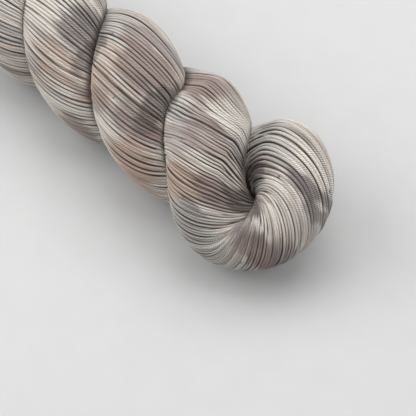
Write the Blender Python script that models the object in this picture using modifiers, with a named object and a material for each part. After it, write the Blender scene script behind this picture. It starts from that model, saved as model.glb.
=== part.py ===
"""A skein of yarn: a bundle of strands, twisted, folded in half and plied back on itself like a rope.

It lies along X with its folded end at +X and its tucked end at -X, and rests on the plane z = 0.
Lengths are in metres. The shape is worked out first about the rope's own axis, the X axis, with
x = 0 at the middle of the fold, and then put in its place.
"""

import math

import bmesh
import bpy
from mathutils import Matrix, Vector

MM = 0.001
X_AXIS = Vector((1, 0, 0))

# The two plies of the rope, which are one bundle folded at x = 0
PLY_RADIUS = 20 * MM
PLY_SPREAD = 3 * MM  # how far each ply is pressed out to either side, along the rope
ROPE_RADIUS = 16 * MM  # from the rope's axis to the middle of a ply
FOLD_RADIUS = 24 * MM
PITCH = 106 * MM  # the length of rope in which a ply goes once round, right-handed
FOLD_TURN = math.radians(30.3)  # how the fold's plane is turned about the rope's axis
TWIST_START = 2.5 * MM  # where the plies begin to go round
TWIST_EASE = 10 * MM
SWELL_LENGTH = 32 * MM  # the plies part over this length to reach the fold's width
SPREAD_LENGTH = 40 * MM  # and are pressed wide over this length behind it

# The tucked end: one end of the bundle makes a collar, and the other comes through it as a knob
COLLAR_AT = -222 * MM
COLLAR_RADIUS = 19 * MM
COLLAR_THICKNESS = 12.5 * MM
COLLAR_LEAN = math.radians(12)
NECK_LENGTH = 34 * MM
NECK_ROPE_RADIUS = 9 * MM
NECK_PLY_RADIUS = 14 * MM
KNOB_AT = -243 * MM
KNOB_TURN = math.radians(65)
KNOB_THICKNESS = 12.5 * MM
KNOB_FOLD_RADIUS = 10 * MM

# How it rests
FLATTENED = 2.5 * MM  # how much the lowest strands are pressed flat
AXIS_HEIGHT = ROPE_RADIUS + PLY_RADIUS - FLATTENED

# How finely it is made
STATION = 6 * MM
FOLD_STATIONS = 14
RING_STATIONS = 28
VOXEL = 4.6 * MM
BOX_SIDE = 1.0


def smooth_step(t):
    """0 below t = 0 and 1 above t = 1, with no corner between."""
    t = min(max(t, 0.0), 1.0)
    return t * t * (3 - 2 * t)


def ply_angle(x):
    """The angle of the first ply about the rope's axis. The second ply is opposite it."""
    behind = TWIST_START - x
    turned = (behind + math.hypot(behind, TWIST_EASE)) / 2
    return FOLD_TURN - 2 * math.pi * turned / PITCH


def around_axis(x, radius, angle):
    return Vector((x, radius * math.cos(angle), radius * math.sin(angle)))


def ply_sections(side):
    """The stations of one ply from the collar to the fold: its middle, its radius and how far it spreads."""
    sections = []
    count = round(-COLLAR_AT / STATION)
    for i in range(count + 1):
        x = COLLAR_AT * (1 - i / count)
        fold = smooth_step(1 + x / SWELL_LENGTH)
        neck = smooth_step(1 - (x - COLLAR_AT) / NECK_LENGTH)
        radius = ROPE_RADIUS + (FOLD_RADIUS - ROPE_RADIUS) * fold + (NECK_ROPE_RADIUS - ROPE_RADIUS) * neck
        middle = around_axis(x, side * radius, ply_angle(x))
        thickness = PLY_RADIUS + (NECK_PLY_RADIUS - PLY_RADIUS) * neck
        spread = PLY_SPREAD * smooth_step(-x / SPREAD_LENGTH) * (1 - neck)
        sections.append((middle, thickness, spread))
    return sections


def fold_sections():
    """The stations of the half circle that joins the plies at the folded end."""
    sections = []
    for i in range(1, FOLD_STATIONS):
        phase = math.pi * i / FOLD_STATIONS
        x = FOLD_RADIUS * math.sin(phase)
        sections.append((around_axis(x, FOLD_RADIUS * math.cos(phase), ply_angle(x)), PLY_RADIUS, 0.0))
    return sections


def sideways(points, i):
    """The direction in which a ply spreads: along the rope's surface, across the ply."""
    along = points[min(i + 1, len(points) - 1)] - points[max(i - 1, 0)]
    outward = points[i].copy()
    outward.x = 0
    return along.cross(outward).normalized()


def tube(name, sections, cyclic=False):
    """A round bundle through (middle, radius) stations, as a closed mesh."""
    curve = bpy.data.curves.new(name, "CURVE")
    curve.dimensions = "3D"
    curve.bevel_depth = 1.0
    curve.bevel_resolution = 4
    curve.use_fill_caps = not cyclic
    spline = curve.splines.new("POLY")
    spline.points.add(len(sections) - 1)
    spline.use_cyclic_u = cyclic
    for point, (middle, radius) in zip(spline.points, sections):
        point.co = (*middle, 1.0)
        point.radius = radius
    guide = bpy.data.objects.new(name, curve)
    bpy.context.scene.collection.objects.link(guide)
    graph = bpy.context.evaluated_depsgraph_get()
    mesh = bpy.data.meshes.new_from_object(guide.evaluated_get(graph))
    mesh.transform(guide.matrix_world)
    bpy.data.objects.remove(guide)
    bpy.data.curves.remove(curve)
    solid = bmesh.new()
    solid.from_mesh(mesh)
    bmesh.ops.remove_doubles(solid, verts=solid.verts, dist=0.01 * MM)
    bmesh.ops.recalc_face_normals(solid, faces=solid.faces)
    solid.to_mesh(mesh)
    solid.free()
    return mesh


def ply_tubes():
    """The folded bundle as three overlapping tubes side by side, so that it is wider than it is thick."""
    sections = ply_sections(1) + fold_sections() + ply_sections(-1)[::-1]
    middles = [middle for middle, _, _ in sections]
    tubes = []
    for name, shift in (("Ply middle", 0), ("Ply left", -1), ("Ply right", 1)):
        stations = [
            (middle + sideways(middles, i) * spread * shift, radius)
            for i, (middle, radius, spread) in enumerate(sections)
        ]
        tubes.append(tube(name, stations))
    return tubes


def collar_tube():
    """The ring that one end of the bundle makes round the neck of the rope."""
    lean = Matrix.Rotation(COLLAR_LEAN, 3, "Y")
    centre = X_AXIS * COLLAR_AT
    stations = []
    for i in range(RING_STATIONS):
        phase = 2 * math.pi * i / RING_STATIONS
        stations.append((centre + lean @ around_axis(0, COLLAR_RADIUS, phase), COLLAR_THICKNESS))
    return tube("Collar", stations, cyclic=True)


def knob_tube():
    """The small loop that comes out through the collar."""
    stations = []
    for x in (COLLAR_AT + COLLAR_THICKNESS, COLLAR_AT, (COLLAR_AT + KNOB_AT) / 2):
        stations.append((around_axis(x, KNOB_FOLD_RADIUS, KNOB_TURN), KNOB_THICKNESS))
    for i in range(FOLD_STATIONS + 1):
        phase = math.pi * i / FOLD_STATIONS
        x = KNOB_AT - KNOB_FOLD_RADIUS * math.sin(phase)
        middle = around_axis(x, KNOB_FOLD_RADIUS * math.cos(phase), KNOB_TURN)
        stations.append((middle, KNOB_THICKNESS))
    for x in ((COLLAR_AT + KNOB_AT) / 2, COLLAR_AT, COLLAR_AT + COLLAR_THICKNESS):
        stations.append((around_axis(x, -KNOB_FOLD_RADIUS, KNOB_TURN), KNOB_THICKNESS))
    return tube("Knob", stations)


def joined(meshes):
    """One mesh that holds all of these, still overlapping."""
    together = bmesh.new()
    for mesh in meshes:
        together.from_mesh(mesh)
        bpy.data.meshes.remove(mesh)
    mesh = bpy.data.meshes.new("Skein")
    together.to_mesh(mesh)
    together.free()
    return mesh


def lay_down(obj):
    """Puts the rope's axis at its height, with the middle of the skein over the origin."""
    graph = bpy.context.evaluated_depsgraph_get()
    evaluated = obj.evaluated_get(graph)
    points = [vertex.co for vertex in evaluated.data.vertices]
    middle = [(min(p[k] for p in points) + max(p[k] for p in points)) / 2 for k in (0, 1)]
    obj.data.transform(Matrix.Translation((-middle[0], -middle[1], AXIS_HEIGHT)))


def surface_cutter(collection):
    """A box under z = 0, which presses the lowest strands flat."""
    mesh = bpy.data.meshes.new("Surface")
    box = bmesh.new()
    bmesh.ops.create_cube(box, size=BOX_SIDE, matrix=Matrix.Translation((0, 0, -BOX_SIDE / 2)))
    box.to_mesh(mesh)
    box.free()
    cutter = bpy.data.objects.new("Surface", mesh)
    cutter.hide_render = True
    cutter.display_type = "WIRE"
    collection.objects.link(cutter)
    return cutter


def yarn_material():
    """Undyed and softly dyed wool: a warm pale grey."""
    material = bpy.data.materials.new("Yarn")
    material.use_nodes = True
    shader = material.node_tree.nodes["Principled BSDF"]
    shader.inputs["Base Color"].default_value = (0.42, 0.36, 0.32, 1)
    shader.inputs["Roughness"].default_value = 0.9
    shader.inputs["Metallic"].default_value = 0.0
    return material


def new_collection(name):
    collection = bpy.data.collections.new(name)
    bpy.context.scene.collection.children.link(collection)
    return collection


def main():
    for obj in list(bpy.data.objects):
        bpy.data.objects.remove(obj)
    parts = new_collection("Skein of yarn")
    cutters = new_collection("Cutters")

    mesh = joined([*ply_tubes(), collar_tube(), knob_tube()])
    skein = bpy.data.objects.new("skein", mesh)
    parts.objects.link(skein)
    mesh.materials.append(yarn_material())

    remesh = skein.modifiers.new("One body", "REMESH")
    remesh.mode = "VOXEL"
    remesh.voxel_size = VOXEL
    remesh.use_smooth_shade = True
    smooth = skein.modifiers.new("Soft", "SMOOTH")
    smooth.factor = 0.5
    smooth.iterations = 2
    lay_down(skein)

    cut = skein.modifiers.new("Rests flat", "BOOLEAN")
    cut.operation = "DIFFERENCE"
    cut.solver = "EXACT"
    cut.object = surface_cutter(cutters)


main()
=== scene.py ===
"""The looks of a twisted skein of hand-dyed yarn: every strand of its outer windings, on a pale floor."""

import math

import bpy
import numpy as np
from mathutils import Matrix, Vector


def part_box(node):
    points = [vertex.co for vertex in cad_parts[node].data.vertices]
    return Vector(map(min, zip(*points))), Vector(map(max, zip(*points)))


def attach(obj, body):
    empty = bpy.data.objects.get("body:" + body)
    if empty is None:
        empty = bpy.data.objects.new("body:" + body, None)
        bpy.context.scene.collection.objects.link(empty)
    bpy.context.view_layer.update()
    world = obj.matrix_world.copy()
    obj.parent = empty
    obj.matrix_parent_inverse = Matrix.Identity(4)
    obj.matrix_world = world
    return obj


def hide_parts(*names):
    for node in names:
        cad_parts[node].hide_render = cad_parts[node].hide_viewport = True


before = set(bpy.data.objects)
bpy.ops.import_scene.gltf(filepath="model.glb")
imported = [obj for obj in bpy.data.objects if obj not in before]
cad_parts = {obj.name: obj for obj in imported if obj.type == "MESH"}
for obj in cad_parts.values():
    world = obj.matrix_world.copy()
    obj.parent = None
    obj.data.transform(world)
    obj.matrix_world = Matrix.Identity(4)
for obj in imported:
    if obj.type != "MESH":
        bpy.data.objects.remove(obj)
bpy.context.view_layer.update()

MM = 0.001
LOW, HIGH = (np.array(corner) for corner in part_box("skein"))

# The rope, as it was laid: one bundle folded in half, whose two plies go round each other
PLY_RADIUS = 20 * MM
PLY_SPREAD = 3 * MM
ROPE_RADIUS = 16 * MM
FOLD_RADIUS = 24 * MM
PITCH = 106 * MM
FOLD_TURN = math.radians(30.3)
TWIST_START = 2.5 * MM
TWIST_EASE = 10 * MM
SWELL_LENGTH = 32 * MM
SPREAD_LENGTH = 40 * MM
FLATTENED = 2.5 * MM

# The curvature and the torsion of a ply
ROPE_STEP = PITCH / (2 * math.pi)
ROPE_BEND = ROPE_RADIUS / (ROPE_RADIUS**2 + ROPE_STEP**2)
ROPE_TORSION = ROPE_STEP / (ROPE_RADIUS**2 + ROPE_STEP**2)

# The tucked end
COLLAR_AT = -222 * MM
COLLAR_RADIUS = 19 * MM
COLLAR_THICKNESS = 12.5 * MM
COLLAR_LEAN = math.radians(12)
NECK_LENGTH = 34 * MM
NECK_ROPE_RADIUS = 9 * MM
NECK_PLY_RADIUS = 14 * MM
KNOB_AT = -243 * MM
KNOB_TURN = math.radians(65)
KNOB_THICKNESS = 12.5 * MM
KNOB_FOLD_RADIUS = 10 * MM

# Where it lies: the rope's own x = 0 is the middle of the fold
ROPE_START = np.array([HIGH[0] - FOLD_RADIUS - PLY_RADIUS, (LOW[1] + HIGH[1]) / 2, 0])
AXIS = ROPE_START + (0, 0, ROPE_RADIUS + PLY_RADIUS - FLATTENED)
ACROSS_TILT = math.radians(24.6)  # places across the rope are measured in this direction, up from level

# The yarn, and how finely each bundle's strands are made along their length
YARN = 1.85 * MM
STRANDS_AROUND = 50
PIECES_AROUND = 5
ROPE_STRAND_STEP = 1.6 * MM
UNDER_STRAND_STEP = 3.0 * MM
KNOB_STRAND_STEP = 1.1 * MM
COLLAR_STRAND_STEP = 1.3 * MM

# How finely the bundles' middle lines are worked out
FINE_STEP = 0.5 * MM
PLY_POINTS = 3000
FOLD_POINTS = 500
KNOB_POINTS = 300
KNOB_FOLD_POINTS = 200
COLLAR_POINTS = 800

# How fast the strands go round a ply, in radians for each metre of it: left-handed everywhere, and
# tightest in the second half of the fold
TWIST_PLACES = (
    # millimetres from the fold's middle, radians for each metre
    (-300, -92),
    (-110, -88),
    (-65, -66),
    (-38, -34),
    (-12, -64),
    (8, -125),
    (28, -170),
    (50, -165),
    (75, -112),
    (100, -72),
    (130, -92),
)
TWIST_BLUR = 12 * MM
KNOB_TWIST = -95
COLLAR_TWIST = -70

# How steeply the strands cross their bundle, as a tangent, which settles how wide each one lies
SKIN_RADIUS = 0.95 * PLY_RADIUS
LAID_FROM = 40 * MM  # the plies go round each other from here, and fully from twice as far
FANNED = 0.5  # the strands lie wider apart by this much over the fold's first side
FANNED_AT = -35 * MM
FANNED_REACH = 30 * MM
KNOB_SLANT = 1.2
COLLAR_SLANT = 0.9
COLLAR_PASS = 0.12  # how far the collar's ends pass each other, in radians

# How a strand strays: how fast along it, and how unlike its neighbours
STRAY_PACE = 24.0
STRAY_UNLIKE = 7.31
BUNCH_PACE = 11.0
BUNCH_RING = 1.7
BUNCH_SEED = 5.0
LIFT_PACE = 34.0
LIFT_UNLIKE = 5.77
LIFT_SEED = 9.0

# How strands share a surface that is too small for them: some go under, and the rest close up
LEAST_CROWDING = 0.2
LEAST_THICK = 0.8  # no strand is pressed thinner than this
MOST_THICK = 1.3
SUNK = 3.0 * MM
GOLDEN = 0.618034  # strands go under in an order that keeps them apart: each rank is a golden section on
FIRST_RANK = 0.3
SINK_EASE = (-0.04, 0.12)
CLOSE_UP = 0.3  # how far the neighbours move over one that went under, in strands

# How the inner strands of a fold are drawn to its eye, and how the plies press on each other
EYE_GAP = 1.0 * MM
EYE_CURVE = 1.6
TOUCH = 0.45 * YARN
TOUCH_SOFT = 2.0 * MM
REST_SHARE = 0.95
REST_GAP = 0.04 * MM
REST_SOFT = 0.9 * MM

# How folding by hand left it uneven
EYE_SHIFT = (8.0 * MM, -3.6 * MM)  # the eye lies off the fold's middle: this far along it and across it
EYE_PULL = 92 * MM  # the strands make for it from this far along the path, on both sides
EYE_PULL_EASE = 60 * MM
EYE_ACROSS = (-20 * MM, 5 * MM)  # the plane where the plies meet goes over to the eye between these
FUNNEL = 24 * MM  # the fold's second side slopes down to the eye from this far out
FUNNEL_SIDE = (1.2, 2.3)  # how far round the fold that side starts and is full, in radians
FUNNEL_CURVE = 1.4
FUNNEL_DEPTH = 0.4
CREASE_AT = -12 * MM  # the second ply rolls over the first here, by this angle
CREASE_TURN = -0.16
CREASE_REACH = 14 * MM
LAP_AT = (-64 * MM, 25 * MM)  # the crossing here, along and across, lies further along than its place
LAP_SHIFT = 9 * MM
LAP_REACH = 12 * MM

# How far a point counts as being from where the plies meet, which sets the painted shade there: more on the
# fold's first side
NOOK_FIRST_SIDE = 2.5
NOOK_SIDES_APART = 1.5
NOOK_SIDE = (1.0, 2.2)  # the second side starts this far round the fold, and is full here, in radians

# How the strands' skins lie in the map that holds their finish
MAP_ROWS = 40
MAP_EDGE = 0.002
ROW_EDGE = 0.06
# A face lies across the skin's seam if it has corners on both sides of these shares of the way round
SEAM_BEFORE = 0.75
SEAM_AFTER = 0.25
# Where a strand's first end lies in its own share of the last row, how much further its second is, and the
# size of both
END_AT = 0.25
ENDS_APART = 0.5
END_WIDTH = 0.15
END_HEIGHT = 0.35


# ---------------------------------------------------------------- the paths of the bundles


def smooth_step(t):
    t = np.clip(t, 0, 1)
    return t * t * (3 - 2 * t)


def ply_angle(x):
    behind = TWIST_START - x
    return FOLD_TURN - math.pi / PITCH * (behind + np.hypot(behind, TWIST_EASE))


def across_rope(angle):
    """The directions away from the rope's axis at these angles about it."""
    return np.stack([np.zeros_like(angle), np.cos(angle), np.sin(angle)], axis=1)


def unit(vectors):
    return vectors / np.linalg.norm(vectors, axis=1, keepdims=True)


def read_at(column, at, along):
    """A column of numbers or of vectors, at these distances along the path."""
    if column.ndim == 1:
        return np.interp(at, along, column)
    return np.stack([np.interp(at, along, part) for part in column.T], axis=1)


def sampled(points, at, along, values):
    """The path and its values at these distances along it."""
    return read_at(points, at, along), {name: read_at(column, at, along) for name, column in values.items()}


def evenly(points, spacing, **values):
    """The path and its values again, at even steps along it, with the distance along it."""
    steps = np.linalg.norm(np.diff(points, axis=0), axis=1)
    distance = np.concatenate([[0], np.cumsum(steps)])
    at = np.linspace(0, distance[-1], round(distance[-1] / spacing) + 1)
    points, values = sampled(points, at, distance, values)
    return points, at, values


def with_directions(points, along, values):
    """Squares each station's outward direction to the path, and adds the one sideways from it."""
    forward = unit(np.gradient(points, axis=0))
    outward = values["outward"]
    outward = unit(outward - forward * np.sum(outward * forward, axis=1, keepdims=True))
    return {**values, "outward": outward, "sideways": np.cross(forward, outward), "distance": along}


def there_and_back(one_ply, in_fold):
    """A column along one ply, through the fold and back along the other ply."""
    return np.concatenate([one_ply, in_fold, one_ply[::-1]])


def round_fold(x, count):
    """The fold's own angles, and how far round it each station of the path has turned, from 0 to pi."""
    phase = np.linspace(0, math.pi, count)[1:-1]
    return phase, np.concatenate([x * 0, phase, x * 0 + math.pi])


def folded_line(all_x, angle, turned, reach, way):
    """A folded bundle's middle line and outward directions. Its fold points along X, or against it."""
    outward = across_rope(angle) * np.cos(turned)[:, None]
    points = outward * np.reshape(reach, (-1, 1))
    points[:, 0] = all_x
    outward[:, 0] = way * np.sin(turned)
    return points, outward


def rope_line():
    """The middle line of both plies and the fold between them, in fine steps, and what it carries."""
    x = np.linspace(COLLAR_AT, 0, PLY_POINTS)
    fold = smooth_step(1 + x / SWELL_LENGTH)
    neck = smooth_step(1 - (x - COLLAR_AT) / NECK_LENGTH)
    width = ROPE_RADIUS + (FOLD_RADIUS - ROPE_RADIUS) * fold + (NECK_ROPE_RADIUS - ROPE_RADIUS) * neck
    bundle = PLY_RADIUS + (NECK_PLY_RADIUS - PLY_RADIUS) * neck
    spread = PLY_SPREAD * smooth_step(-x / SPREAD_LENGTH) * (1 - neck)
    phase, turned = round_fold(x, FOLD_POINTS)
    in_fold = np.ones_like(phase)
    all_x = there_and_back(x, FOLD_RADIUS * np.sin(phase))
    reach = there_and_back(width, in_fold * FOLD_RADIUS)
    points, outward = folded_line(all_x, ply_angle(all_x), turned, reach, 1)
    return evenly(
        points,
        FINE_STEP,
        turned=turned,
        outward=outward,
        bundle=there_and_back(bundle, in_fold * PLY_RADIUS),
        spread=there_and_back(spread, in_fold * 0),
        reach=reach,
        bend=there_and_back(x * 0 + ROPE_BEND, in_fold / FOLD_RADIUS),
    )


def blurred(column):
    """A column of the rope's line, smoothed along it."""
    count = round(TWIST_BLUR / FINE_STEP)
    kernel = np.hanning(2 * count + 1)
    kernel /= kernel.sum()
    return np.convolve(np.pad(column, count, mode="edge"), kernel, mode="valid")


def rope_path(spacing):
    """Both plies and the fold between them, from the collar round to the collar."""
    points, along, values = rope_line()
    step = along[1] - along[0]
    from_middle = along - along[-1] / 2
    place, rate = np.array(TWIST_PLACES).T
    rates = blurred(np.interp(from_middle / MM, place, rate))
    values["twist"] = np.cumsum(rates) * step
    values["bend"] = blurred(values["bend"])

    laid = smooth_step(np.abs(from_middle) / LAID_FROM - 1)
    slant = np.abs(rates + laid * ROPE_TORSION) * SKIN_RADIUS
    fanned = np.exp(-(((from_middle - FANNED_AT) / FANNED_REACH) ** 2))
    values["slant"] = slant * (1 - FANNED * fanned)

    to_eye = EYE_SHIFT[1] * across_rope(ply_angle(points[:, 0]))
    to_eye[:, 0] = EYE_SHIFT[0]
    values["to_eye"] = to_eye * smooth_step((EYE_PULL - np.abs(from_middle)) / EYE_PULL_EASE)[:, None]

    # The stations lie evenly along the strands, not along the bundle
    length = np.cumsum(step * np.sqrt(1 + slant**2))
    at = np.interp(np.linspace(0, length[-1], round(length[-1] / spacing)), length, along)
    points, values = sampled(points, at, along, with_directions(points, along, values))
    return points + AXIS, values


def plain_path(points, outward, turned, bundle, reach, slant, twist, spacing):
    """The path of a bundle that is as thick and as tightly wound all the way."""
    same = np.ones(len(points))
    points, along, values = evenly(
        points,
        spacing,
        turned=turned,
        outward=outward,
        bundle=same * bundle,
        spread=same * 0,
        reach=same * reach,
        bend=same * 0,
        slant=same * slant,
        to_eye=points * 0,
    )
    values["twist"] = along * twist
    return points + AXIS, with_directions(points, along, values)


def knob_path():
    """The small loop that comes out through the collar, folded like the rope's other end."""
    x = np.linspace(COLLAR_AT + 2 * COLLAR_THICKNESS, KNOB_AT, KNOB_POINTS)
    phase, turned = round_fold(x, KNOB_FOLD_POINTS)
    all_x = there_and_back(x, KNOB_AT - KNOB_FOLD_RADIUS * np.sin(phase))
    angle = np.full_like(all_x, KNOB_TURN)
    points, outward = folded_line(all_x, angle, turned, KNOB_FOLD_RADIUS, -1)
    return plain_path(
        points,
        outward,
        turned,
        bundle=KNOB_THICKNESS,
        reach=KNOB_FOLD_RADIUS,
        slant=KNOB_SLANT,
        twist=KNOB_TWIST,
        spacing=KNOB_STRAND_STEP,
    )


def collar_path():
    """The ring that one end of the bundle makes round the rope's neck. Its ends pass each other inside."""
    phase = np.linspace(-COLLAR_PASS, 2 * math.pi + COLLAR_PASS, COLLAR_POINTS)
    lean = np.array(Matrix.Rotation(COLLAR_LEAN, 3, "Y"))
    outward = across_rope(phase) @ lean.T
    points = outward * COLLAR_RADIUS + (COLLAR_AT, 0, 0)
    return plain_path(
        points,
        outward,
        phase * 0,
        bundle=COLLAR_THICKNESS,
        reach=COLLAR_RADIUS,
        slant=COLLAR_SLANT,
        twist=COLLAR_TWIST,
        spacing=COLLAR_STRAND_STEP,
    )


# ---------------------------------------------------------------- node trees, written as expressions


class Wire:
    """A node's output in a tree, on which an expression adds Math nodes."""

    def __init__(self, tree, socket):
        self.tree = tree
        self.socket = socket

    def math(self, operation, *values):
        return add(self.tree, "ShaderNodeMath", {"operation": operation}, dict(enumerate(values)))

    def __add__(self, other):
        return self.math("ADD", self, other)

    def __radd__(self, other):
        return self.math("ADD", other, self)

    def __sub__(self, other):
        return self.math("SUBTRACT", self, other)

    def __rsub__(self, other):
        return self.math("SUBTRACT", other, self)

    def __mul__(self, other):
        return self.math("MULTIPLY", self, other)

    def __rmul__(self, other):
        return self.math("MULTIPLY", other, self)

    def __truediv__(self, other):
        return self.math("DIVIDE", self, other)

    def __neg__(self):
        return self.math("MULTIPLY", self, -1.0)

    def __pow__(self, other):
        return self.math("POWER", self, other)

    def sin(self):
        return self.math("SINE", self)

    def cos(self):
        return self.math("COSINE", self)

    def sqrt(self):
        return self.math("SQRT", self)

    def abs(self):
        return self.math("ABSOLUTE", self)

    def exp(self):
        return self.math("EXPONENT", self)

    def fraction(self):
        return self.math("FRACT", self)

    def most(self, other):
        return self.math("MAXIMUM", self, other)

    def least(self, other):
        return self.math("MINIMUM", self, other)

    def at_least(self, floor, softness):
        """This value, held softly above the floor."""
        above = self - floor
        return (above + (above * above + softness * softness).sqrt()) * 0.5 + floor

    def step(self, start, end):
        """0 at start and 1 at end, with a smooth slope between."""
        return add(
            self.tree,
            "ShaderNodeMapRange",
            {"interpolation_type": "SMOOTHSTEP"},
            {"Value": self, "From Min": start, "From Max": end},
        )


def fill(tree, node, values):
    """Fills a node's sockets: a wire by a link, and anything else as its value."""
    for name, value in values.items():
        if isinstance(value, Wire):
            tree.links.new(value.socket, node.inputs[name])
        else:
            node.inputs[name].default_value = value


def add(tree, kind, settings=None, values=None, output=0):
    """Adds any node: its settings first, then the values or links of its sockets."""
    node = tree.nodes.new(kind)
    for name, value in (settings or {}).items():
        setattr(node, name, value)
    fill(tree, node, values or {})
    return Wire(tree, node.outputs[output]) if len(node.outputs) else None


def outputs(wire, *names):
    """Other outputs of the node that a wire comes from."""
    node = wire.socket.node
    return [Wire(wire.tree, node.outputs[name]) for name in names]


def parts(tree, vector):
    return outputs(add(tree, "ShaderNodeSeparateXYZ", values={0: vector}), "X", "Y", "Z")


def vector_of(tree, x, y, z):
    return add(tree, "ShaderNodeCombineXYZ", values={"X": x, "Y": y, "Z": z})


def scaled(tree, vector, factor):
    return add(tree, "ShaderNodeVectorMath", {"operation": "SCALE"}, {0: vector, "Scale": factor})


def summed(tree, first, second):
    return add(tree, "ShaderNodeVectorMath", {"operation": "ADD"}, {0: first, 1: second})


def from_axis(tree, place):
    """A place's X, Y and Z from the rope's axis at the middle of the fold."""
    return [part - float(middle) for part, middle in zip(parts(tree, place), AXIS)]


def tilted_across(y, z):
    """How far across the rope a place lies, from its Y and Z."""
    return y * math.cos(ACROSS_TILT) + z * math.sin(ACROSS_TILT)


def noise(tree, vector, detail):
    return add(tree, "ShaderNodeTexNoise", values={"Vector": vector, "Scale": 1.0, "Detail": detail})


# ---------------------------------------------------------------- the strands


def named(tree, name, kind="FLOAT"):
    return add(tree, "GeometryNodeInputNamedAttribute", {"data_type": kind}, {"Name": name})


def store(tree, geometry, name, value, kind="FLOAT"):
    return add(
        tree,
        "GeometryNodeStoreNamedAttribute",
        {"data_type": kind, "domain": "POINT"},
        {"Geometry": geometry, "Name": name, "Value": value},
    )


def wander(tree, x, y, z):
    """Smooth noise about 0, from about -0.5 to 0.5."""
    return noise(tree, vector_of(tree, x, y, z), 1.0) - 0.5


def strand_angle(tree, inputs, number):
    """How far round its bundle each point of a strand lies."""
    distance = named(tree, "distance")
    phase = number * (2 * math.pi) / inputs["Around"]
    seed = inputs["Seed"]
    alone = wander(tree, distance * STRAY_PACE, number * STRAY_UNLIKE, seed)
    ring = phase.cos() * BUNCH_RING + distance * BUNCH_PACE
    bunched = wander(tree, ring, phase.sin() * BUNCH_RING, seed + BUNCH_SEED)
    return phase + named(tree, "twist") + alone * inputs["Wander"] + bunched * inputs["Bunching"]


def strand_room(tree, inputs, angle, depth):
    """The width that each strand has at the surface, as a share of its thickness."""
    crowding = (named(tree, "bend") * depth * angle.cos() + 1.0).most(LEAST_CROWDING)
    slant = named(tree, "slant")
    room = crowding / (crowding * crowding + slant * slant).sqrt()
    return room * named(tree, "bundle") * (2 * math.pi) / (inputs["Around"] * inputs["Thickness"])


def gone_under(inputs, number, room):
    """How far the strand of this number has gone under the others, from 0 to 1."""
    rank = (number * GOLDEN + FIRST_RANK).fraction()
    return (rank - room * (1 / LEAST_THICK)).step(*SINK_EASE) * inputs["Sinking"]


def strand_offset(tree, inputs, number):
    """The offset from its bundle's middle, the way out there, how far it went under, its thickness."""
    angle = strand_angle(tree, inputs, number)
    distance = named(tree, "distance")
    lift = wander(tree, distance * LIFT_PACE, number * LIFT_UNLIKE, inputs["Seed"] + LIFT_SEED)
    depth = named(tree, "bundle") - inputs["Depth"] + lift * inputs["Unevenness"]
    room = strand_room(tree, inputs, angle, depth)
    before, sunk, after = (gone_under(inputs, number + step, room) for step in (-1.0, 0.0, 1.0))
    angle = angle + (after - before) * (1.0 - sunk) * (CLOSE_UP * 2 * math.pi) / inputs["Around"]
    depth = depth - sunk * SUNK

    outward = named(tree, "outward", "FLOAT_VECTOR")
    sideways = named(tree, "sideways", "FLOAT_VECTOR")
    to_eye = named(tree, "to_eye", "FLOAT_VECTOR")
    pull = (named(tree, "reach") - depth - EYE_GAP).most(0.0) * inputs["Meeting"]
    inner = (0.5 - angle.cos() * 0.5) ** EYE_CURVE
    offset = scaled(tree, outward, angle.cos() * depth - pull * inner)
    offset = summed(tree, offset, scaled(tree, to_eye, inner))
    offset = summed(tree, offset, scaled(tree, sideways, angle.sin() * (depth + named(tree, "spread"))))
    away = summed(tree, scaled(tree, outward, angle.cos()), scaled(tree, sideways, angle.sin()))
    return offset, away, sunk, room.most(LEAST_THICK).least(MOST_THICK)


def near(first, second, reach):
    """1 at a place and less around it, from how far off it is in two directions."""
    return ((first * first + second * second) * (-0.5 / reach**2)).exp()


def pressed(tree, inputs):
    """Where each point lies once the plies press on each other and the lowest strands on the floor."""
    x, y, z = from_axis(tree, add(tree, "GeometryNodeInputPosition"))
    behind = TWIST_START - x
    behind = behind + (behind * behind + TWIST_EASE**2).sqrt()
    angle = inputs["Fold Turn"] - behind * inputs["Half Turn Rate"]
    across = y * angle.cos() + z * angle.sin()
    over = z * angle.cos() - y * angle.sin()
    lap_across = tilted_across(y, z) - LAP_AT[1]
    fold_x = x - inputs["Fold At"]
    by_hand = inputs["By Hand"]

    # Each side keeps to its own half of the plane where they meet
    turned = named(tree, "turned")
    out_x = turned.sin() * inputs["Facing"]
    out_across = turned.cos()
    eye_across = fold_x.step(*EYE_ACROSS) * by_hand * EYE_SHIFT[1]
    apart = fold_x * out_x + (across - eye_across) * out_across
    push = (apart.at_least(TOUCH, TOUCH_SOFT) - apart) * inputs["Meeting"]
    x = x + push * out_x
    across = across + push * out_across

    # The fold's second side slopes down to the eye
    eye_x = x - EYE_SHIFT[0]
    eye_off = across - eye_across
    slope = (1.0 - (eye_x * eye_x + eye_off * eye_off).sqrt() * (1 / FUNNEL)).most(0.0)
    slope = (slope * turned.step(*FUNNEL_SIDE)) ** FUNNEL_CURVE
    over = over * (1.0 - slope * by_hand * FUNNEL_DEPTH)

    # The second ply rolls over the first, and one crossing lies further along
    angle = angle + near(fold_x - CREASE_AT, across, CREASE_REACH) * by_hand * CREASE_TURN
    x = x + near(fold_x - LAP_AT[0], lap_across, LAP_REACH) * by_hand * LAP_SHIFT

    y = across * angle.cos() - over * angle.sin() + float(AXIS[1])
    z = across * angle.sin() + over * angle.cos() + float(AXIS[2])
    rest = inputs["Depth"] * REST_SHARE + REST_GAP
    place = vector_of(tree, x + float(AXIS[0]), y, z.at_least(rest, REST_SOFT))
    nook = (apart + push) * (NOOK_FIRST_SIDE - turned.step(*NOOK_SIDE) * NOOK_SIDES_APART)
    return place, nook + (1.0 - inputs["Meeting"])


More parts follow.
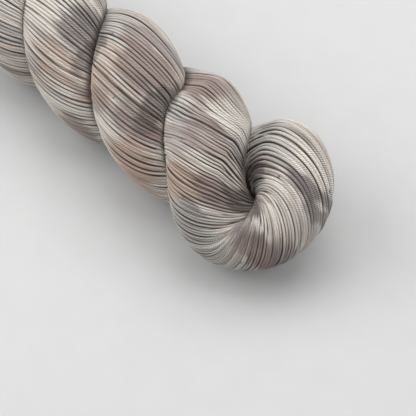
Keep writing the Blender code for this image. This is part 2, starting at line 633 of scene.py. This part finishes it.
WINDING_INPUTS = (
    # name, kind, usual value
    ("Strands", "Int", 7),
    ("First", "Int", 0),
    ("Around", "Float", float(STRANDS_AROUND)),
    ("Depth", "Float", YARN / 2),
    ("Thickness", "Float", YARN),
    ("Sides", "Int", 7),
    ("Wander", "Float", 0.2),
    ("Bunching", "Float", 0.2),
    ("Unevenness", "Float", 1.7 * MM),
    ("Seed", "Float", 0.0),
    ("Meeting", "Float", 1.0),
    ("Facing", "Float", 1.0),
    ("Fold At", "Float", 0.0),
    ("By Hand", "Float", 1.0),
    ("Sinking", "Float", 1.0),
    ("Fold Turn", "Float", FOLD_TURN),
    ("Half Turn Rate", "Float", math.pi / PITCH),
    ("Finish", "Material", None),
)


def winding_tree():
    """Winds strands round a bundle's path and makes each a tube with its own length and number."""
    tree = bpy.data.node_groups.new("Winding", "GeometryNodeTree")
    tree.interface.new_socket("Geometry", in_out="INPUT", socket_type="NodeSocketGeometry")
    for name, kind, value in WINDING_INPUTS:
        socket = tree.interface.new_socket(name, in_out="INPUT", socket_type="NodeSocket" + kind)
        if value is not None:
            socket.default_value = value
    tree.interface.new_socket("Geometry", in_out="OUTPUT", socket_type="NodeSocketGeometry")
    start = add(tree, "NodeGroupInput").socket.node
    inputs = {socket.name: Wire(tree, socket) for socket in start.outputs if socket.name}

    curve = add(tree, "GeometryNodeMeshToCurve", values={"Mesh": inputs["Geometry"]})
    copies = {"Geometry": curve, "Amount": inputs["Strands"]}
    strands = add(tree, "GeometryNodeDuplicateElements", {"domain": "SPLINE"}, copies)
    number = outputs(strands, "Duplicate Index")[0] + inputs["First"]
    strands = store(tree, strands, "number", number)
    number = named(tree, "number")
    offset, away, sunk, thin = strand_offset(tree, inputs, number)
    strands = store(tree, strands, "away", away, "FLOAT_VECTOR")
    strands = store(tree, strands, "sunk", sunk)
    strands = add(tree, "GeometryNodeSetCurveRadius", values={"Curve": strands, "Radius": thin})
    strands = add(tree, "GeometryNodeSetPosition", values={"Geometry": strands, "Offset": offset})
    place, nook = pressed(tree, inputs)
    strands = store(tree, strands, "nook", nook)
    strands = add(tree, "GeometryNodeSetPosition", values={"Geometry": strands, "Position": place})
    length = outputs(add(tree, "GeometryNodeSplineParameter"), "Length")[0]
    strands = store(tree, strands, "length", length)
    profile = add(
        tree,
        "GeometryNodeCurvePrimitiveCircle",
        values={"Resolution": inputs["Sides"], "Radius": inputs["Thickness"] * 0.5},
    )
    around = outputs(add(tree, "GeometryNodeSplineParameter"), "Factor")[0]
    profile = store(tree, profile, "around", around)
    radius = add(tree, "GeometryNodeInputRadius")
    tubes = add(
        tree,
        "GeometryNodeCurveToMesh",
        values={"Curve": strands, "Profile Curve": profile, "Scale": radius, "Fill Caps": True},
    )
    facing = add(
        tree,
        "ShaderNodeVectorMath",
        {"operation": "DOT_PRODUCT"},
        {0: add(tree, "GeometryNodeInputNormal"), 1: named(tree, "away", "FLOAT_VECTOR")},
        output="Value",
    )
    tubes = store(tree, tubes, "facing", facing)
    tubes = add(tree, "GeometryNodeRealizeInstances", values={"Geometry": tubes})
    tubes = add(tree, "GeometryNodeSetShadeSmooth", values={"Geometry": tubes})
    tubes = add(tree, "GeometryNodeSetMaterial", values={"Geometry": tubes, "Material": inputs["Finish"]})
    add(tree, "NodeGroupOutput", values={"Geometry": tubes})
    return tree


def guide(path):
    """A path's stations as a string of edges that carries its values."""
    points, values = path
    mesh = bpy.data.meshes.new("guide")
    mesh.from_pydata(points.tolist(), [(i, i + 1) for i in range(len(points) - 1)], [])
    for name, column in {**values, "station": np.arange(len(points))}.items():
        kind, field = ("FLOAT_VECTOR", "vector") if column.ndim == 2 else ("FLOAT", "value")
        mesh.attributes.new(name, kind, "POINT").data.foreach_set(field, column.astype(np.float32).ravel())
    obj = bpy.data.objects.new("guide", mesh)
    bpy.context.scene.collection.objects.link(obj)
    return obj


def at_corners(mesh, name):
    """A point attribute's value at each corner of each face."""
    values = np.empty(len(mesh.vertices), np.float32)
    mesh.attributes[name].data.foreach_get("value", values)
    corner_point = np.empty(len(mesh.loops), np.int32)
    mesh.loops.foreach_get("vertex_index", corner_point)
    return values[corner_point]


def new_map(mesh, name, u, v):
    mesh.uv_layers.new(name=name).data.foreach_set("uv", np.stack([u, v], axis=1).ravel())


def add_maps(mesh):
    """Two maps: the one that the finish reads, and one that lays every strand's skin out flat, in rows."""
    names = ("length", "around", "station", "number")
    along, around, station, number = (at_corners(mesh, name) for name in names)
    starts = np.empty(len(mesh.polygons), np.int32)
    mesh.polygons.foreach_get("loop_start", starts)
    sizes = np.empty(len(mesh.polygons), np.int32)
    mesh.polygons.foreach_get("loop_total", sizes)
    over_seam = np.repeat(np.maximum.reduceat(around, starts) > SEAM_BEFORE, sizes)
    around = around + (over_seam & (around < SEAM_AFTER))
    new_map(mesh, "Strand", along, around)

    strand = number - number.min()
    strands = strand.max() + 1
    rows_each = max(1, round(MAP_ROWS / strands))
    rows = strands * rows_each + 1
    stations = math.ceil(station.max() / rows_each)
    row = np.repeat(np.minimum.reduceat(station, starts), sizes) // stations
    u = MAP_EDGE + (1 - 2 * MAP_EDGE) * (station - row * stations) / stations
    v = (strand * rows_each + row + ROW_EDGE + (1 - 2 * ROW_EDGE) * around) / rows
    # A strand's two ends, whose faces have more than four corners, go side by side in the last row
    end = np.repeat(sizes > 4, sizes)
    turn = 2 * math.pi * around
    end_u = strand + END_AT + ENDS_APART * (station > 0) + END_WIDTH * np.cos(turn)
    u = np.where(end, end_u / strands, u)
    v = np.where(end, (rows - 0.5 + END_HEIGHT * np.sin(turn)) / rows, v)
    new_map(mesh, "OFBake", u, v)


def wind(tree, name, path, finish, values):
    """One piece: strands wound round a path."""
    obj = guide(path)
    modifier = obj.modifiers.new("Winding", "NODES")
    modifier.node_group = tree
    sockets = {item.name: item.identifier for item in tree.interface.items_tree if item.in_out == "INPUT"}
    for key, value in {"Finish": finish, **values}.items():
        modifier[sockets[key]] = value
    mesh = bpy.data.meshes.new_from_object(obj.evaluated_get(bpy.context.evaluated_depsgraph_get()))
    bpy.data.objects.remove(obj)
    add_maps(mesh)
    piece = bpy.data.objects.new(name, mesh)
    bpy.context.scene.collection.objects.link(piece)
    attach(piece, "root")
    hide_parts("skein")


# ---------------------------------------------------------------- finishes


# The Mix node's sockets for colours
MIX_FACTOR = 0
MIX_FIRST = 6
MIX_SECOND = 7
MIX_RESULT = 2

WHITE = (1.0, 1.0, 1.0)
IVORY = (0.75, 0.70, 0.635)
PALE_GREY = (0.53, 0.51, 0.48)
TAN = (0.53, 0.385, 0.305)
MAUVE = (0.275, 0.188, 0.163)
LAVENDER = (0.33, 0.28, 0.285)
SMOKE = (0.12, 0.10, 0.105)
PAINTED_CREASE_SHADE = (0.085, 0.06, 0.05)
PLUM = (0.05, 0.03, 0.035)
GROOVE = (0.11, 0.08, 0.065)  # what is left of each colour's light between the strands
# Painted shade: the inner windings, seen between the outer strands, are coloured as the same yarn in shadow
SHADED_CORE_DARK = (0.15, 0.125, 0.11)
SHADED_CORE_PALE = (0.26, 0.225, 0.2)
PAPER_DARK = (0.42, 0.42, 0.42)
PAPER_PALE = (0.44, 0.44, 0.44)

# Where the dye was poured, and where dark pools of painted shade lie in the creases and at the eye, in
# millimetres: along the rope from the middle of the fold, and across it
DYE_AND_SHADE_POOLS = (
    # along, across, half length, half width, colour, strength
    (-140, 6, 16, 14, IVORY, 0.8),
    (-137, -10, 12, 8, IVORY, 0.6),
    (-117, 8, 13, 12, SMOKE, 0.65),
    (-119, -12, 14, 7, TAN, 0.5),
    (-110, -23, 14, 7, TAN, 0.7),
    (-104, -29, 19, 7, IVORY, 1.0),
    (-94, -35, 12, 5, MAUVE, 0.7),
    (-101, 21, 10, 10, PALE_GREY, 0.8),
    (-94, 6, 12, 8, TAN, 0.5),
    (-89, -9, 12, 8, TAN, 0.7),
    (-76, 13, 17, 11, MAUVE, 0.8),
    (-92, 24, 10, 6, MAUVE, 0.6),
    (-74, 28, 12, 5, LAVENDER, 0.5),
    (-84, -16, 11, 6, MAUVE, 0.6),
    (-72, -25, 14, 7, IVORY, 0.8),
    (-61, -12, 12, 9, MAUVE, 0.6),
    (-52, -28, 15, 9, TAN, 0.9),
    (-46, 24, 14, 8, MAUVE, 0.85),
    (-42, 7, 13, 8, PALE_GREY, 0.7),
    (-30, 12, 12, 5, MAUVE, 0.5),
    (-18, 20, 16, 6, IVORY, 1.0),
    (-33, -4, 11, 8, LAVENDER, 0.5),
    (-20, 4, 15, 7, MAUVE, 0.5),
    (-18, -20, 15, 9, TAN, 0.9),
    (1, -14, 13, 7, MAUVE, 0.75),
    (-6, -27, 8, 3, SMOKE, 0.6),
    (-3, -35, 17, 7, PALE_GREY, 0.9),
    (31, -22, 13, 7, MAUVE, 0.85),
    (22, -18, 9, 5, SMOKE, 0.5),
    (43, -16, 8, 8, LAVENDER, 0.7),
    (29, -3, 9, 6, IVORY, 0.7),
    (18, 6, 9, 6, IVORY, 0.6),
    (30, 18, 13, 4, SMOKE, 0.75),
    (43, 11, 10, 4, SMOKE, 0.6),
    (3, 26, 14, 8, PALE_GREY, 0.8),
    (28, 30, 16, 5, IVORY, 0.9),
    # Painted shade: dark pools in the creases where the plies meet and in the valley round the eye
    (-56, 1, 6, 14, PAINTED_CREASE_SHADE, 0.65),
    (-106, 1, 5, 13, PAINTED_CREASE_SHADE, 0.6),
    (12, -8, 9, 6, PAINTED_CREASE_SHADE, 0.85),
    (2, 8, 7, 5, PAINTED_CREASE_SHADE, 0.7),
)

# Where the dye ran instead: streaks under the pools, and a few over them
RUN_STREAKS = (
    # noise, where it starts and is full, strength, colour
    ("broad", 0.40, 0.62, 1.0, PALE_GREY),
    ("warm", 0.48, 0.68, 0.7, TAN),
    ("warm", 0.50, 0.30, 0.6, MAUVE),
)
LATE_STREAKS = (
    # noise, where it starts and is full, strength, colour
    ("cool", 0.56, 0.74, 0.5, LAVENDER),
    ("speck", 0.85, 0.89, 0.7, PLUM),
)
# A pool's soft edge, as shares of its size, and how far the strands carry it either way
POOL_EDGE = 1.35
POOL_SOFT = 0.6
POOL_RAGGED = 1.6
POOL_SWAY = 0.8

# Noise that runs along the strands
YARN_NOISES = {
    # how fast it changes along a strand, how fast from strand to strand, its own place, its detail
    "broad": (14.0, 0.18, 9.0, 1.5),
    "warm": (22.0, 0.6, 21.0, 2.0),
    "cool": (30.0, 0.9, 33.0, 2.0),
    "ragged": (40.0, 1.9, 3.0, 2.0),
    "speck": (300.0, 9.7, 51.0, 0.0),
    "packed": (26.0, 3.7, 91.0, 2.0),
    "tone": (18.0, 2.9, 77.0, 2.0),
}
YARN_NOISE_SLOPE = 0.37  # it goes off slantwise from strand to strand, so that no strand repeats another

# The yarn's own make: ridges where its plies go round, and fibres along it; the ridges' hollows get painted
# shade
RIDGES_AROUND = 4.0
RIDGE_LENGTH = 1.15 * MM
RIDGE_HEIGHT = 0.8
RIDGE_EDGE = (0.35, 1.0)
RIDGE_SHADE = 0.5
FIBRES_ALONG = 900.0
FIBRES_AROUND = 9.0
FIBRE_HEIGHT = 0.5
FIBRE_SHADE = (1.2, 0.4)
TONE_SHADE = (1.9, 0.08)
RELIEF = 0.7 * MM

# How dark the painted shade is between the strands and where the plies meet
GROOVE_WIDTH = 0.9
GROOVES_UNLIKE = 1.3
NOOK_DEPTH = 7.0 * MM
SUNK_SHADE = 0.6


def new_material(name):
    material = bpy.data.materials.new(name)
    material.use_nodes = True
    tree = material.node_tree
    return material, tree, tree.nodes["Principled BSDF"]


def full_colour(value):
    return value if isinstance(value, Wire) else (*value, 1.0)


def mixed(tree, factor, first, second, blend="MIX"):
    """The second colour over the first, or worked into it by another blend."""
    settings = {"data_type": "RGBA", "blend_type": blend}
    values = {MIX_FACTOR: factor, MIX_FIRST: full_colour(first), MIX_SECOND: full_colour(second)}
    return add(tree, "ShaderNodeMix", settings, values, MIX_RESULT)


def yarn_noise(tree, name, distance, number):
    pace, unlike, own_place, detail = YARN_NOISES[name]
    z = number * (YARN_NOISE_SLOPE * unlike) + own_place
    return noise(tree, vector_of(tree, distance * pace, number * unlike, z), detail)


def streaked(tree, colour, streaks, distance, number):
    for name, start, full, strength, tint in streaks:
        streak = yarn_noise(tree, name, distance, number).step(start, full) * strength
        colour = mixed(tree, streak, colour, tint)
    return colour


def dyed(tree, distance, number):
    """The dye, and painted shade in the creases and at the eye: soft pools with ragged ends, broken up from
    strand to strand.
    """
    x, y, z = from_axis(tree, add(tree, "ShaderNodeTexCoord", output="Object"))
    along = x * (1 / MM)
    across = tilted_across(y, z) * (1 / MM)
    ragged = (yarn_noise(tree, "ragged", distance, number) - 0.5) * POOL_RAGGED
    ragged = ragged + (yarn_noise(tree, "broad", distance, number) - 0.5) * POOL_SWAY
    colour = streaked(tree, IVORY, RUN_STREAKS, distance, number)
    for pool_along, pool_across, length, width, tint, strength in DYE_AND_SHADE_POOLS:
        u = (along - pool_along) / length
        v = (across - pool_across) / width
        pool_weight = (POOL_EDGE - (u * u + v * v).sqrt() + ragged).step(0.0, POOL_SOFT) * strength
        colour = mixed(tree, pool_weight, colour, tint)
    return streaked(tree, colour, LATE_STREAKS, distance, number)


def yarn_finish():
    """Plied wool, dyed by hand in short soft streaks, with painted shade between its strands, where the
    plies meet and on the strands that went under.
    """
    material, tree, shader = new_material("Hand-dyed yarn")
    along, around, _ = parts(tree, add(tree, "ShaderNodeUVMap", {"uv_map": "Strand"}))
    number, nook, facing, sunk = (
        add(tree, "ShaderNodeAttribute", {"attribute_name": name}, output="Fac")
        for name in ("number", "nook", "facing", "sunk")
    )
    ridge = ((around * RIDGES_AROUND + along * (1 / RIDGE_LENGTH)) * math.pi).sin().abs()
    fibres = noise(tree, vector_of(tree, along * FIBRES_ALONG, around * FIBRES_AROUND, number), 3.0)
    packed = (yarn_noise(tree, "packed", along, number) - 0.5) * GROOVES_UNLIKE
    tone = yarn_noise(tree, "tone", along, number)

    # Painted shade: darker in the grooves between strands, into the creases where the plies meet, on
    # strands that went under and in the hollows between the ply ridges; the fibre and tone noise is the
    # yarn's own uneven colour
    shade = (facing + packed).step(0.0, GROOVE_WIDTH) * nook.step(0.0, NOOK_DEPTH)
    shade = shade * (1.0 - sunk * SUNK_SHADE)
    shade = shade * (1.0 - (1.0 - ridge).step(*RIDGE_EDGE) * RIDGE_SHADE)
    shade = shade * (fibres * FIBRE_SHADE[0] + FIBRE_SHADE[1]).least(1.0)
    shade = shade * (tone * TONE_SHADE[0] + TONE_SHADE[1]).least(1.0)
    shadow = mixed(tree, shade, GROOVE, WHITE)

    height = ridge * RIDGE_HEIGHT + fibres * FIBRE_HEIGHT
    relief = add(tree, "ShaderNodeBump", values={"Strength": 0.9, "Distance": RELIEF, "Height": height})
    values = {
        "Base Color": mixed(tree, 1.0, dyed(tree, along, number), shadow, "MULTIPLY"),
        "Roughness": 0.78 + fibres * 0.2,
        "Normal": relief,
        "Sheen Weight": 0.2,
        "Sheen Roughness": 0.5,
        "Specular IOR Level": 0.25,
    }
    fill(tree, shader, values)
    return material


def mottled_finish(name, dark, pale, pace, edges, roughness):
    """A dull finish whose colour goes softly between two."""
    material, tree, shader = new_material(name)
    place = scaled(tree, add(tree, "ShaderNodeTexCoord", output="Object"), pace)
    colour = mixed(tree, noise(tree, place, 3.0).step(*edges), dark, pale)
    fill(tree, shader, {"Base Color": colour, "Roughness": roughness})
    return material


# ---------------------------------------------------------------- the pieces


STRAY_WINDING = {
    "Strands": 5,
    "Around": 5.0,
    "Seed": 20.0,
    "Wander": 2.6,
    "Unevenness": 5.0 * MM,
    "Depth": 1.9 * MM,
    "Bunching": 0.0,
}
UNDER_WINDING = {
    "Strands": 37,
    "Around": 37.0,
    "Sinking": 0.0,
    "Depth": 1.35 * YARN,
    "Sides": 5,
    "Seed": 40.0,
    "Unevenness": 0.8 * MM,
    "Thickness": 1.15 * YARN,
}
KNOB_WINDING = {
    "Strands": 23,
    "Around": 23.0,
    "Seed": 60.0,
    "Facing": -1.0,
    "Fold At": KNOB_AT,
    "Fold Turn": KNOB_TURN,
    "Half Turn Rate": 0.0,
    "By Hand": 0.0,
}
COLLAR_WINDING = {
    "Strands": 28,
    "Around": 28.0,
    "Seed": 80.0,
    "Meeting": 0.0,
}


def build_skein():
    tree = winding_tree()
    yarn = yarn_finish()
    # The under windings get the yarn's colour darkened: painted shade between the outer strands
    inner = mottled_finish("Shaded inner yarn", SHADED_CORE_DARK, SHADED_CORE_PALE, 90.0, (0.35, 0.65), 0.95)
    rope = rope_path(ROPE_STRAND_STEP)
    each = STRANDS_AROUND // PIECES_AROUND
    for i in range(PIECES_AROUND):
        wind(tree, f"winding_{i + 1}", rope, yarn, {"Strands": each, "First": i * each})
    wind(tree, "stray_winding", rope, yarn, STRAY_WINDING)
    wind(tree, "under_winding", rope_path(UNDER_STRAND_STEP), inner, UNDER_WINDING)
    wind(tree, "knob_winding", knob_path(), yarn, KNOB_WINDING)
    wind(tree, "collar_winding", collar_path(), yarn, COLLAR_WINDING)


FLOOR_SIDE = 6.0


def add_floor():
    edge = FLOOR_SIDE / 2
    mesh = bpy.data.meshes.new("floor")
    square = [(-edge, -edge, 0), (edge, -edge, 0), (edge, edge, 0), (-edge, edge, 0)]
    mesh.from_pydata(square, [], [(0, 1, 2, 3)])
    floor = bpy.data.objects.new("floor", mesh)
    bpy.context.scene.collection.objects.link(floor)
    mesh.materials.append(mottled_finish("Pale paper", PAPER_DARK, PAPER_PALE, 60.0, (0.0, 1.0), 0.8))


CAMERA_TURN = math.radians(44.9)
CAMERA_RISE = math.radians(57.1)
CAMERA_AWAY = 950 * MM
SENSOR = 36.0
VIEW_WIDTH = 214.8 * MM  # what the view takes in, across the middle of the fold
AIM_RIGHT = -21.5 * MM  # the aim, to the right of the middle of the fold and above it
AIM_UP = -10.6 * MM


def add_camera():
    back = Vector((
        math.sin(CAMERA_TURN) * math.cos(CAMERA_RISE),
        -math.cos(CAMERA_TURN) * math.cos(CAMERA_RISE),
        math.sin(CAMERA_RISE),
    ))
    data = bpy.data.cameras.new("camera")
    data.sensor_width = SENSOR
    data.lens = SENSOR * CAMERA_AWAY / VIEW_WIDTH
    camera = bpy.data.objects.new("camera", data)
    bpy.context.scene.collection.objects.link(camera)
    turn = back.to_track_quat("Z", "Y")
    camera.rotation_mode = "QUATERNION"
    camera.rotation_quaternion = turn
    right, up = turn @ Vector((1, 0, 0)), turn @ Vector((0, 1, 0))
    camera.location = Vector(AXIS) + back * CAMERA_AWAY + right * AIM_RIGHT + up * AIM_UP
    bpy.context.scene.camera = camera


LIGHTS = (
    # name, place from the middle of the skein, side, watts
    ("window", (-0.2, 0.45, 1.1), 1.1, 13.0),
    ("left fill", (-0.8, -0.6, 0.85), 1.2, 17.0),
    ("right fill", (0.9, 0.5, 0.8), 1.0, 6.0),
)
WORLD_LIGHT = 0.5


def add_lights():
    middle = Vector((LOW + HIGH) / 2)
    for name, place, side, watts in LIGHTS:
        data = bpy.data.lights.new(name, "AREA")
        data.size = side
        data.energy = watts
        light = bpy.data.objects.new(name, data)
        bpy.context.scene.collection.objects.link(light)
        light.location = middle + Vector(place)
        light.rotation_mode = "QUATERNION"
        light.rotation_quaternion = Vector(place).to_track_quat("Z", "Y")
    world = bpy.data.worlds.new("studio")
    world.use_nodes = True
    background = world.node_tree.nodes["Background"]
    fill(world.node_tree, background, {"Color": full_colour(WHITE), "Strength": WORLD_LIGHT})
    bpy.context.scene.world = world
    bpy.context.scene.view_settings.view_transform = "Standard"


build_skein()
add_floor()
add_camera()
add_lights()
